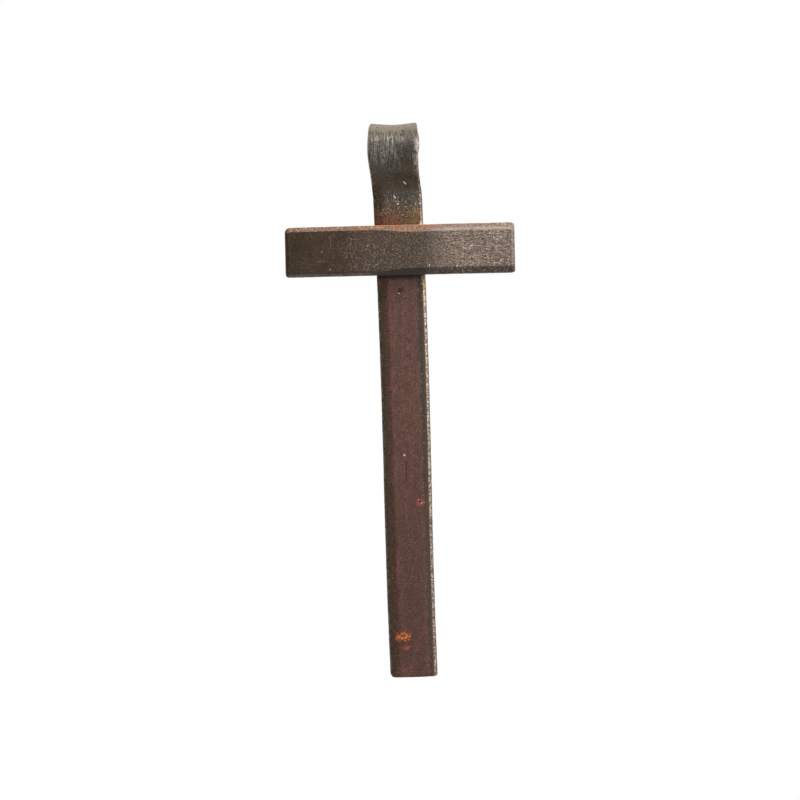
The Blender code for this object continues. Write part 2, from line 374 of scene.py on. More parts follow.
# %% Hammer the upright
DARK_PIT, RED_PIT = (400, 290), (420, 502)
BLISTER, BLISTER_EDGE, LOWER_PATCH = (399, 637), (406, 637), (406, 648)
SEAM = ((406, 462), (406, 486))
STREAK = ((398, 552), (397.5, 584))
SPARKS = ((418.6, 500), (421.5, 503), (399.2, 293), (403.3, 283.6), (387.4, 297.4))
CRACKS = (
    ((395.5, 635), (399, 634)),
    ((396, 640.5), (398.5, 638.5)),
    ((406, 633.5), (410, 636)),
    ((399, 634), (402, 636.5)),
    ((402, 636.5), (405.5, 635.5)),
    ((405, 640), (409.5, 638.5)),
    ((400, 639), (402, 641)),
)
GLINTS = (
    ((403.5, 181.5), (406, 184)),
    ((403.5, 454), (405, 456)),
    ((394, 196), (395.5, 198)),
    ((397, 203), (398.5, 204)),
)
EDGE_RUST = (379.5, 282.5)
DISH, SKIN, DRAWN_LINE, GRIT = 0.10, 0.030, 0.030, 0.06
PIT, NICK, CRATER, SEAM_DEPTH = 0.07, 0.12, 0.22, 0.10
BLISTER_RISE = 0.09
LEAST_DEPTH = 0.01
EYE_STARTS, EYE_FULL = -0.020, -0.013
NECK_STARTS, NECK_FULL = -0.036, -0.033

places, normals = read_mesh(upright_mesh)
faces_front = np.clip(-normals[:, 1], 0, 1)
sideways = np.abs(normals[:, 0])
on_eye = ease(places[:, 2], EYE_STARTS, EYE_FULL)
on_neck = ease(places[:, 2], NECK_STARTS, NECK_FULL) * ease(places[:, 2], EYE_FULL, EYE_STARTS)

dishes = DISH * (0.5 + 0.5 * lumps(places, (7, 7, 10), 3.1, detail=1)) * (1 - 0.8 * on_eye)
skin = SKIN * (0.5 + 0.5 * lumps(places, (1.0, 1.0, 1.5), 11.7, detail=3))
drawn = DRAWN_LINE * on_eye * (0.5 + 0.5 * lumps(places, (0.8, 6, 7), 5.3))
grit = GRIT * on_neck * ease(lumps(places, (0.9, 0.9, 0.9), 31.0), -0.2, 0.6)
pits = ease(cells(places, 4.6, 8.8), 0.17, 0.03)
nicks = ease(sideways, 0.3, 0.8) * ease(lumps(places, (3, 3, 1.1), 21.3), -0.1, 0.6)
hollow = spot(places, DARK_PIT, (1.7, 1.4)) - 0.8 * spot(places, DARK_PIT, (0.8, 0.7))
crater = hollow + spot(places, RED_PIT, (1.0, 0.9))
seam = stroke(places, *SEAM, width=0.9)
blister = spot(places, BLISTER, (1.9, 1.5), 0.45) + 0.8 * spot(places, BLISTER_EDGE, (2.5, 2.0), 0.7)
blister = np.clip(blister + spot(places, LOWER_PATCH, (1.7, 1.3), 0.6), 0, 1) * faces_front

upright_depth = LEAST_DEPTH + dishes + skin + drawn + grit + PIT * pits + NICK * nicks
upright_depth += (CRATER * crater + SEAM_DEPTH * seam) * faces_front
upright_depth -= np.minimum(BLISTER_RISE, upright_depth) * blister
press_in(upright_mesh, places, normals, upright_depth)
print("the upright is hammered up to", round(float(upright_depth.max()), 2), "mm deep")

# %% [markdown]
# Some marks are seen by their colour more than by their depth. The finish can't tell where the hammer
# went, so each point of the mesh keeps a number for each kind of mark, and the coats read those numbers
# by name.

# %% Keep the upright's marks for its finish
orange = spot(places, BLISTER, (2.1, 1.9), 0.45) + spot(places, BLISTER_EDGE, (2.3, 1.8), 0.6)
orange += 0.32 * spot(places, LOWER_PATCH, (1.8, 1.1), 0.6)
red = 0.55 * spot(places, LOWER_PATCH, (1.9, 1.3), 0.6) + 0.6 * spot(places, RED_PIT, (1.8, 1.7), 0.3)
red += 0.35 * spot(places, DARK_PIT, (1.4, 1.3), 0.3)
red += 0.5 * spot(places, EDGE_RUST, (0.7, 1.8), 0.6)
glint = sum(stroke(places, start, end, width=0.75) for start, end in GLINTS)
glint += 0.8 * sum(spot(places, pixel, (0.4, 0.4)) for pixel in SPARKS)
cracks = sum(stroke(places, start, end, width=0.8) for start, end in CRACKS)
keep_value(upright_mesh, "pits", np.clip(pits + crater + hollow + seam + cracks, 0, 1))
keep_value(upright_mesh, "edge", ease(sideways, 0.22, 0.5) * (1 - 0.8 * nicks))
keep_value(upright_mesh, "inside", below_outline(places[:, 2], places[:, 0]))
keep_value(upright_mesh, "scratch", stroke(places, *STREAK, width=2.4))
keep_value(upright_mesh, "orange", orange * faces_front)
keep_value(upright_mesh, "red", red * ease(-normals[:, 1], -0.2, 0.2))
keep_value(upright_mesh, "glint", glint * faces_front)
print("the upright keeps", [kept.name for kept in upright_mesh.attributes if kept.data_type == "FLOAT"])

# %% [markdown]
# ## The crossbar
#
# The crossbar is the better finished bar: its long edges are chamfered and its face is nearly flat. Its
# left arm is worn the smoothest. Its right arm has a skin of fine wrinkles that run along the bar, left
# where scale was wire-brushed away, with one scratch across them and a few along them.

# %% Hammer the crossbar
CROSS_SCRATCH = ((463, 237), (463.5, 257))
LEVEL_SCRATCHES = (((450, 243), (461, 242)), ((466, 246), (480, 245)), ((452, 252), (462, 252.5)))
HAIRLINES = (
    ((352, 238), (350, 250)),
    ((350, 250), (353, 262)),
    ((353, 262), (358, 269)),
    ((360, 243), (368, 253)),
    ((343, 253), (351, 254)),
    ((330, 236), (331, 249)),
    ((310, 234), (313, 239)),
    ((366, 246), (374, 258)),
    ((372, 262), (379, 252)),
    ((381, 238), (388, 246)),
    ((316, 262), (325, 261.5)),
)
CROSSHATCH_SEED, CROSSHATCH_LINES = 5, 150
CROSSHATCH_FROM, CROSSHATCH_TO = (346, 236), (436, 270)
SHORTEST_LINE, LONGEST_LINE = 4, 13
FAINTEST_LINE, PLAINEST_LINE = 0.12, 0.36
BARE_SPECKS = ((429.5, 265.3), (330, 270), (322, 252), (472, 245.5), (457, 266), (368, 246))
CROSSBAR_DISH, CROSSBAR_SKIN, CROSSBAR_PIT = 0.07, 0.026, 0.06
WRINKLE, EDGE_WAVE, SCRATCH = 0.055, 0.09, 0.05
RIGHT_ARM, LEFT_ARM = (0.002, 0.024), (-0.008, -0.022)

places, normals = read_mesh(crossbar_mesh)
faces_front = np.clip(-normals[:, 1], 0, 1)
along_edge = np.abs(normals[:, 2])
right_arm = ease(places[:, 0], *RIGHT_ARM)
left_arm = ease(places[:, 0], *LEFT_ARM)

dishes = CROSSBAR_DISH * (0.5 + 0.5 * lumps(places, (10, 9, 7), 6.4, detail=1))
skin = CROSSBAR_SKIN * (0.5 + 0.5 * lumps(places, (1.1, 1.0, 0.9), 17.9, detail=3)) * (1 - 0.75 * left_arm)
wrinkles = right_arm * faces_front * ease(lumps(places, (2.8, 3, 0.7), 9.4, detail=3), -0.4, 0.9)
pits = ease(cells(places, 3.6, 4.8), 0.16, 0.03)
edge_wave = ease(along_edge, 0.3, 0.7) * (0.5 + 0.5 * lumps(places, (4, 3, 3), 13.3))
scratch = stroke(places, *CROSS_SCRATCH, width=0.8)
scratch += sum(stroke(places, start, end, width=0.7) for start, end in LEVEL_SCRATCHES)
crossbar_depth = LEAST_DEPTH + dishes + skin + WRINKLE * wrinkles + CROSSBAR_PIT * pits
crossbar_depth += EDGE_WAVE * edge_wave
crossbar_depth += SCRATCH * scratch * faces_front
press_in(crossbar_mesh, places, normals, crossbar_depth)
print("the crossbar is hammered up to", round(float(crossbar_depth.max()), 2), "mm deep")

# %% [markdown]
# The hairlines have no depth to speak of. A few that stand out are drawn from pixel to pixel, and a
# random hatch of fainter ones, always the same, fills in the middle of the bar where hands and cloths
# rubbed it.

# %% Keep the crossbar's marks for its finish
glint = sum(spot(places, pixel, (0.42, 0.38)) for pixel in BARE_SPECKS)
keep_value(crossbar_mesh, "pits", np.clip(pits + 0.5 * wrinkles, 0, 1))
keep_value(crossbar_mesh, "inside", below_outline(places[:, 0], places[:, 2]))
hairlines = 0.38 * sum(stroke(places, start, end, width=0.5) for start, end in HAIRLINES)
random = np.random.default_rng(CROSSHATCH_SEED)
for _ in range(CROSSHATCH_LINES):
    start = random.uniform(CROSSHATCH_FROM, CROSSHATCH_TO)
    lean = random.uniform(0, math.pi)
    length = random.uniform(SHORTEST_LINE, LONGEST_LINE)
    end = start + length * np.array((math.cos(lean), math.sin(lean)))
    hairlines += random.uniform(FAINTEST_LINE, PLAINEST_LINE) * stroke(places, start, end, width=0.4)
keep_value(crossbar_mesh, "scratch", (np.clip(hairlines, 0, 1) + 0.45 * scratch) * faces_front)
keep_value(crossbar_mesh, "glint", glint * faces_front)
print("the crossbar keeps", [kept.name for kept in crossbar_mesh.attributes if kept.data_type == "FLOAT"])

# %% [markdown]
# ## Forged iron, browned
#
# Bare forged iron is a dark grey metal. What covers it here is black scale and a thin film of rust,
# which is hardly a metal at all: it has a dull, slightly glossy skin where hands have waxed it. So each
# finish starts from that scale, and coats are laid over it one by one. A coat has a colour, a
# roughness, a share of bare metal, a grain in millimetres that breaks it up, and a region.
#
# A region is a row of bounds, and the coat lies where all of them hold. Each is a name, the value where
# the coat starts, and the value from which it is full, so a bound that runs downwards keeps to the low
# side. The names are x, y and z in millimetres, faces_x, faces_y and faces_z for the way the surface
# faces, sideways for how far it faces to either side, and the numbers that the hammering kept. The real
# grain of rust is far finer than a pixel, so it is drawn about half a millimetre wide or more, which is
# the finest that shows.


# %% Build a finish in coats
def lay_coat(tree, where, under, coat):
    """The finish so far, under, with one coat mixed over it. Both hold what a shader reads, by name."""
    scale = [1 / size for size in coat["grain"]]
    moved = (coat.get("seed", 0.0),) * 3
    grain = add(
        tree,
        "ShaderNodeMapping",
        inputs={0: where["millimetres"], "Location": moved, "Scale": scale},
    )
    detail = coat.get("detail", 3.0)
    cloud = add(
        tree,
        "ShaderNodeTexNoise",
        inputs={"Vector": grain.outputs[0], "Scale": 1.0, "Detail": detail, "Roughness": 0.6},
    )
    cover = coat.get("cover", 1.0)
    bounds = [(cloud.outputs[0], *coat["cut"])]
    bounds += [(where[name], start, full) for name, start, full in coat.get("region", ())]
    for value, start, full in bounds:
        bound = add(
            tree,
            "ShaderNodeMapRange",
            {"interpolation_type": "SMOOTHSTEP"},
            {"Value": value, "From Min": start, "From Max": full},
        )
        both = {0: cover, 1: bound.outputs[0]}
        cover = add(tree, "ShaderNodeMath", {"operation": "MULTIPLY"}, both).outputs[0]
    made = {}
    for name in ("roughness", "metal"):
        made[name] = add(tree, "ShaderNodeMix", inputs={0: cover, 2: under[name], 3: coat[name]}).outputs[0]
    colours = {0: cover, 6: under["colour"], 7: linear(coat["colour"])}
    made["colour"] = add(tree, "ShaderNodeMix", {"data_type": "RGBA"}, colours).outputs[2]
    return made


FRONT = ("faces_y", 0.1, -0.4)
WAVE, WANDER = 3.5, 3.0
WORN_PEEL = 0.4


def forged_iron(name, base, coats, peels, worn=None):
    """A finish of several coats over black scale, with fine peels, each of a size and depth in millimetres.

    The bounds on x, y and z wander a millimetre or so, as the edge of a rusted patch does. Beyond the bound
    worn, hands have smoothed the peels away.
    """
    material = bpy.data.materials.new(name)
    material.use_nodes = True
    tree = material.node_tree
    shader = tree.nodes["Principled BSDF"]
    place = add(tree, "ShaderNodeTexCoord")
    scaled = add(
        tree,
        "ShaderNodeVectorMath",
        {"operation": "SCALE"},
        {0: place.outputs["Object"], "Scale": 1 / MM},
    ).outputs[0]
    where = {"millimetres": scaled}
    wave = add(tree, "ShaderNodeTexNoise", inputs={"Vector": scaled, "Scale": 1 / WAVE, "Detail": 3.0})
    centred = add(
        tree,
        "ShaderNodeVectorMath",
        {"operation": "SUBTRACT"},
        {0: wave.outputs["Color"], 1: (0.5, 0.5, 0.5)},
    )
    wavy = add(
        tree,
        "ShaderNodeVectorMath",
        {"operation": "MULTIPLY_ADD"},
        {0: centred.outputs[0], 1: (WANDER, WANDER, WANDER), 2: scaled},
    )
    split = add(tree, "ShaderNodeSeparateXYZ", inputs={0: wavy.outputs[0]})
    facing = add(tree, "ShaderNodeSeparateXYZ", inputs={0: place.outputs["Normal"]})
    for axis in "XYZ":
        where[axis.lower()] = split.outputs[axis]
        where["faces_" + axis.lower()] = facing.outputs[axis]
    sideways = add(tree, "ShaderNodeMath", {"operation": "ABSOLUTE"}, {0: facing.outputs["X"]})
    where["sideways"] = sideways.outputs[0]
    for kept in ("pits", "edge", "inside", "orange", "red", "glint", "scratch"):
        where[kept] = add(tree, "ShaderNodeAttribute", {"attribute_name": kept}).outputs["Fac"]
    finish = {"colour": linear(base["colour"]), "roughness": base["roughness"], "metal": base["metal"]}
    for coat in coats:
        finish = lay_coat(tree, where, finish, coat)
    tree.links.new(finish["colour"], shader.inputs["Base Color"])
    tree.links.new(finish["roughness"], shader.inputs["Roughness"])
    tree.links.new(finish["metal"], shader.inputs["Metallic"])
    strength = 1.0
    if worn:
        bound = add(
            tree,
            "ShaderNodeMapRange",
            {"interpolation_type": "SMOOTHSTEP"},
            {
                "Value": where[worn[0]],
                "From Min": worn[1],
                "From Max": worn[2],
                "To Min": 1.0,
                "To Max": WORN_PEEL,
            },
        )
        strength = bound.outputs[0]
    surface = None
    for size, depth in peels:
        fine = add(
            tree,
            "ShaderNodeTexNoise",
            inputs={"Vector": scaled, "Scale": 1 / size, "Detail": 3.0, "Roughness": 0.65},
        )
        height = {"Height": fine.outputs[0], "Distance": depth * MM, "Strength": strength}
        bump = add(tree, "ShaderNodeBump", inputs=height)
        if surface:
            tree.links.new(surface, bump.inputs["Normal"])
        surface = bump.outputs[0]
    tree.links.new(surface, shader.inputs["Normal"])
    print(name, "has", len(coats), "coats")
    return material


# %% [markdown]
# ### The upright's finish
#
# A red-brown film lies over most of the face. The bevels and the eye are darker and greener, where the
# film is thin over black scale. The rounded edges are rubbed to a pale pinkish iron. Some of them, mostly
# on the right, and the crown of the eye are painted paler still as a painted highlight, which on the
# right edge of the shaft stands in beads with brown gaps between them. Rust blooms at the foot of the
# neck, where water stands on the crossbar. The specks are half a millimetre wide, about one pixel.

# %% Coat the upright
BELOW_CROSSBAR, LOW_DOWN = ("z", -33.0, -36.0), ("z", -110.0, -175.0)
FILM_LEFT, FILM_RIGHT = ("x", -9.4, -5.6), ("x", 7.6, 4.8)
NECK_FOOT, ABOVE_CROSSBAR = ("z", -28.2, -31.4), ("z", -37.0, -35.0)
NECK_LEFT, NECK_RIGHT = ("x", 4.0, -1.0), ("x", -1.0, 4.0)
RIGHT_EDGE = ("x", 6.8, 8.2)

upright_finish = forged_iron(
    "forged iron with red-brown film",
    dict(colour="#292017", roughness=0.48, metal=0.4),
    [
        # black scale, clouded with brown
        dict(colour="#382c1e", grain=(2.5, 2.5, 4), cut=(0.3, 0.7), roughness=0.55, metal=0.3),
        # the red-brown film
        dict(
            colour="#4b291c", grain=(5, 5, 12), cut=(0.18, 0.40), roughness=0.52, metal=0.2,
            region=(BELOW_CROSSBAR, FILM_LEFT, FILM_RIGHT),
        ),
        # pinker patches in the film
        dict(
            colour="#5b3029", grain=(2.8, 2.8, 8), cut=(0.44, 0.66), seed=4.0, cover=0.75,
            roughness=0.58, metal=0.1,
            region=(BELOW_CROSSBAR, FILM_LEFT, FILM_RIGHT),
        ),
        # a dark strip on the right bevel, where the film is thin
        dict(
            colour="#241308", grain=(2.4, 2.4, 5), cut=(0.20, 0.45), seed=5.0, cover=0.85,
            roughness=0.62, metal=0.4,
            region=(BELOW_CROSSBAR, ("x", 5.4, 7.4), FRONT),
        ),
        # brown stains beside it
        dict(
            colour="#3d2411", grain=(1.6, 1.6, 4), cut=(0.50, 0.66), seed=9.0, cover=0.75,
            roughness=0.5, metal=0.3,
            region=(BELOW_CROSSBAR, FILM_RIGHT),
        ),
        # olive scale on the left bevel
        dict(
            colour="#39331f", grain=(1.6, 1.6, 4), cut=(0.30, 0.54), seed=60.0, cover=0.75,
            roughness=0.5, metal=0.3,
            region=(("x", -4.6, -7.4), FRONT, BELOW_CROSSBAR),
        ),
        # a deeper red low down
        dict(
            colour="#371409", grain=(3, 3, 8), cut=(0.30, 0.60), seed=10.0, cover=0.55, roughness=0.6,
            metal=0.1,
            region=(LOW_DOWN,),
        ),
        # a wine-red streak on the left
        dict(
            colour="#5e2a33", grain=(2, 2, 6), cut=(0.25, 0.55), cover=0.8, roughness=0.5, metal=0.2,
            region=(("scratch", 0.1, 0.9),),
        ),
        # fine lines drawn round the eye
        dict(
            colour="#6f6d62", grain=(0.40, 5, 5), cut=(0.42, 0.66), seed=2.0, cover=0.6, roughness=0.42,
            metal=0.7,
            region=(("z", -20.0, -8.0),),
        ),
        # brighter lines at the left of the eye
        dict(
            colour="#8f8d82", grain=(0.5, 4, 4), cut=(0.50, 0.68), seed=7.0, cover=0.5, roughness=0.4,
            metal=0.7,
            region=(("z", -16.0, -8.0), ("x", 6.0, -3.0)),
        ),
        # dark patches at the right of the eye
        dict(
            colour="#2a2117", grain=(3.0, 3.0, 3.6), cut=(0.44, 0.60), seed=13.0, cover=0.8,
            roughness=0.5, metal=0.3,
            region=(("z", -4.0, -7.0), ("z", -27.0, -23.0), ("x", -4.0, 3.0), ("x", 9.5, 7.5)),
        ),
        # black specks on the eye and the neck
        dict(
            colour="#19120b", grain=(0.8, 0.8, 1.1), cut=(0.50, 0.60), seed=34.0, cover=0.9,
            roughness=0.6, metal=0.2,
            region=(("z", -1.5, -3.5), ("z", -27.0, -23.0)),
        ),
        # red specks on the left of the neck
        dict(
            colour="#5e2a22", grain=(1.5, 1.5, 1.5), cut=(0.50, 0.60), seed=14.0, cover=0.65,
            roughness=0.6, metal=0.1,
            region=(("z", -14.0, -18.0), ("z", -25.0, -21.0), ("x", 3.0, -2.0)),
        ),
        # a green-black bloom down the neck
        dict(
            colour="#2b2c1d", grain=(1.4, 1.4, 1.4), cut=(0.44, 0.60), seed=16.0, cover=0.5,
            roughness=0.45, metal=0.4,
            region=(("z", -10.0, -16.0), ("z", -28.0, -25.0)),
        ),
        # the crown of the eye where it faces up: rubbed, and painted paler as a painted highlight of the
        # overhead light
        dict(
            colour="#8c8270", grain=(2, 2, 2), cut=(0.2, 0.5), seed=3.0, cover=0.8, roughness=0.45,
            metal=0.6,
            region=(("faces_z", 0.62, 0.92), ("z", -1.0, 2.0)),
        ),
        # red rust at the left of the neck's foot
        dict(
            colour="#5c2012", grain=(0.9, 0.9, 0.9), cut=(0.36, 0.56), seed=15.0, cover=0.85,
            roughness=0.8, metal=0.0,
            region=(NECK_FOOT, ABOVE_CROSSBAR, NECK_LEFT),
        ),
        # yellow rust at the right of it
        dict(
            colour="#54360a", grain=(0.9, 0.9, 0.9), cut=(0.36, 0.56), seed=18.0, cover=0.85,
            roughness=0.8, metal=0.0,
            region=(NECK_FOOT, ABOVE_CROSSBAR, NECK_RIGHT),
        ),
        # ochre grains over both
        dict(
            colour="#966a24", grain=(0.5, 0.5, 0.5), cut=(0.54, 0.62), seed=19.0, cover=0.6,
            roughness=0.8, metal=0.0,
            region=(("z", -24.0, -31.0), ABOVE_CROSSBAR),
        ),
        # black specks on all but the crown
        dict(
            colour="#140e09", grain=(0.6, 0.6, 0.7), cut=(0.50, 0.62), cover=0.65, roughness=0.6,
            metal=0.2,
            region=(("z", 1.5, -3.0),),
        ),
        # brown clouds at the right of the eye
        dict(
            colour="#3a2f20", grain=(1.3, 1.3, 2.0), cut=(0.40, 0.58), seed=54.0, cover=0.55,
            roughness=0.5, metal=0.3,
            region=(("x", -1.0, 4.0), ("z", -9.0, -13.0), ("z", -26.0, -21.0)),
        ),
        # dull grit low on the eye
        dict(
            colour="#7d7565", grain=(0.5, 0.5, 0.6), cut=(0.59, 0.67), seed=59.0, cover=0.5,
            roughness=0.4, metal=0.5,
            region=(("z", -8.0, -13.0), ("z", -21.5, -17.0)),
        ),
        # bright grit on the neck
        dict(
            colour="#c4b79e", grain=(0.45, 0.45, 0.5), cut=(0.60, 0.65), seed=6.0, cover=0.7,
            roughness=0.4, metal=0.5,
            region=(("z", -19.5, -27.0), ("z", -36.0, -28.0)),
        ),
        # pale specks on the shaft
        dict(
            colour="#937463", grain=(0.5, 0.5, 0.6), cut=(0.58, 0.70), seed=12.0, cover=0.5,
            roughness=0.42, metal=0.3,
            region=(BELOW_CROSSBAR,),
        ),
        # the shade just under the crossbar
        dict(
            colour="#1c120c", grain=(0.8, 0.8, 0.8), cut=(0.20, 0.40), cover=0.7, roughness=0.9,
            metal=0.0,
            region=(("z", -57.6, -55.6), ("z", -50.0, -54.0), FRONT),
        ),
        # an olive band inside the right edge
        dict(
            colour="#3a2f1a", grain=(1.0, 1.0, 2.2), cut=(0.28, 0.46), seed=47.0, cover=0.8,
            roughness=0.55, metal=0.5,
            region=(("inside", 0.9, 1.3), ("inside", 2.6, 1.9), FRONT, BELOW_CROSSBAR),
        ),
        # the rubbed right edge of the neck, painted paler too as a painted highlight of the light from the
        # right
        dict(
            colour="#a8937f", grain=(0.8, 0.8, 0.8), cut=(0.44, 0.58), seed=21.0, cover=0.6,
            roughness=0.36, metal=0.7,
            region=(("edge", 0.3, 0.8), RIGHT_EDGE, ("faces_x", 0.92, 0.75), ("z", -38.0, -33.0)),
        ),
        # the rubbed right edge of the eye, painted paler too as a painted highlight of the light from the
        # right
        dict(
            colour="#93867e", grain=(0.7, 0.7, 2.0), cut=(0.38, 0.56), seed=53.0, cover=0.8,
            roughness=0.42, metal=0.5,
            region=(("inside", 2.8, 1.2), ("z", -17.0, -12.0), ("z", 0.0, -3.0), FRONT),
        ),
        # the rubbed right edge of the shaft, painted paler too as a painted highlight of the light from the
        # right
        dict(
            colour="#6f5e50", grain=(0.9, 0.9, 0.9), cut=(0.25, 0.50), seed=21.0, cover=0.9,
            roughness=0.42, metal=0.5,
            region=(
                ("inside", 1.5, 1.1), ("faces_x", 0.95, 0.85), ("faces_y", 0.2, -0.1), BELOW_CROSSBAR,
            ),
        ),
        # beads of painted highlight along that rubbed edge
        dict(
            colour="#bba99d", grain=(0.9, 0.9, 0.75), cut=(0.46, 0.56), detail=1.5, seed=48.0,
            cover=0.9, roughness=0.36, metal=0.6,
            region=(("inside", 1.4, 1.1), ("inside", 0.2, 0.4), ("faces_y", 0.2, -0.1), BELOW_CROSSBAR),
        ),
        # the rubbed left edge of the shaft
        dict(
            colour="#85766a", grain=(0.8, 0.8, 1.0), cut=(0.42, 0.60), seed=61.0, cover=0.65,
            roughness=0.42, metal=0.5,
            region=(
                ("faces_x", -0.3, -0.55), ("faces_x", -0.97, -0.9), ("faces_y", 0.2, -0.1),
                BELOW_CROSSBAR,
            ),
        ),
        # the rubbed left edge of the eye, painted paler too as a painted highlight on its rim
        dict(
            colour="#a4988c", grain=(0.9, 0.9, 1.2), cut=(0.30, 0.50), seed=32.0, cover=0.8,
            roughness=0.4, metal=0.6,
            region=(("x", -9.2, -10.4), ("edge", 0.2, 0.6), ("z", -22.0, -17.0)),
        ),
        # brown gaps between the beads
        dict(
            colour="#41281a", grain=(0.9, 0.9, 0.7), cut=(0.50, 0.58), detail=1.0, seed=22.0, cover=0.9,
            roughness=0.6, metal=0.2,
            region=(("inside", 1.6, 1.3), ("z", -80.0, -170.0), BELOW_CROSSBAR),
        ),
        # a purplish tint where the edge ends
        dict(
            colour="#6e4244", grain=(0.8, 0.8, 1.0), cut=(0.50, 0.62), seed=41.0, cover=0.5,
            roughness=0.6, metal=0.2,
            region=(("inside", 1.8, 1.4), ("z", -182.0, -200.0)),
        ),
        # yellow rust where the edge leaves the crossbar, painted bright as well as the edge's painted
        # highlight
        dict(
            colour="#dcb078", grain=(1.0, 1.0, 1.2), cut=(0.34, 0.56), seed=24.0, cover=0.55,
            roughness=0.45, metal=0.6,
            region=(("x", 8.0, 9.2), ("faces_y", 0.5, 0.1), ("z", -69.0, -59.0), BELOW_CROSSBAR),
        ),
        # the dark right side
        dict(
            colour="#3a2419", grain=(1.2, 1.2, 1.2), cut=(0.20, 0.40), seed=26.0, cover=0.8,
            roughness=0.9, metal=0.0,
            region=(("faces_x", 0.86, 0.96), RIGHT_EDGE),
        ),
        # rust on both sides
        dict(
            colour="#5c3722", grain=(1.5, 1.5, 2.5), cut=(0.50, 0.64), seed=39.0, cover=0.7,
            roughness=0.8, metal=0.0,
            region=(("sideways", 0.9, 0.98), BELOW_CROSSBAR),
        ),
        # black specks on both sides
        dict(
            colour="#15100b", grain=(0.9, 0.9, 1.6), cut=(0.52, 0.62), seed=40.0, cover=0.7,
            roughness=0.6, metal=0.2,
            region=(("sideways", 0.9, 0.98),),
        ),
        # red spots
        dict(
            colour="#7c3026", grain=(0.8, 0.8, 0.8), cut=(0.30, 0.5), roughness=0.7, metal=0.0,
            region=(("red", 0.1, 0.8),),
        ),
        # the orange blister
        dict(
            colour="#a34c18", grain=(0.8, 0.8, 0.8), cut=(0.38, 0.5), roughness=0.8, metal=0.0,
            region=(("orange", 0.2, 0.7),),
        ),
        # yellow grains on the blister
        dict(
            colour="#c7913a", grain=(0.6, 0.6, 0.6), cut=(0.54, 0.62), seed=25.0, cover=0.9,
            roughness=0.8, metal=0.0,
            region=(("orange", 0.5, 0.9),),
        ),
        # dark pits and cracks
        dict(
            colour="#260f0a", grain=(0.8, 0.8, 0.8), cut=(0.25, 0.5), roughness=0.8, metal=0.0,
            region=(("pits", 0.2, 0.7),),
        ),
        # bare, bright nicks
        dict(
            colour="#e0d8ca", grain=(0.8, 0.8, 0.8), cut=(0.2, 0.4), roughness=0.35, metal=0.8,
            region=(("glint", 0.3, 0.7),),
        ),
    ],
    peels=((0.9, 0.06), (0.42, 0.05)),
)
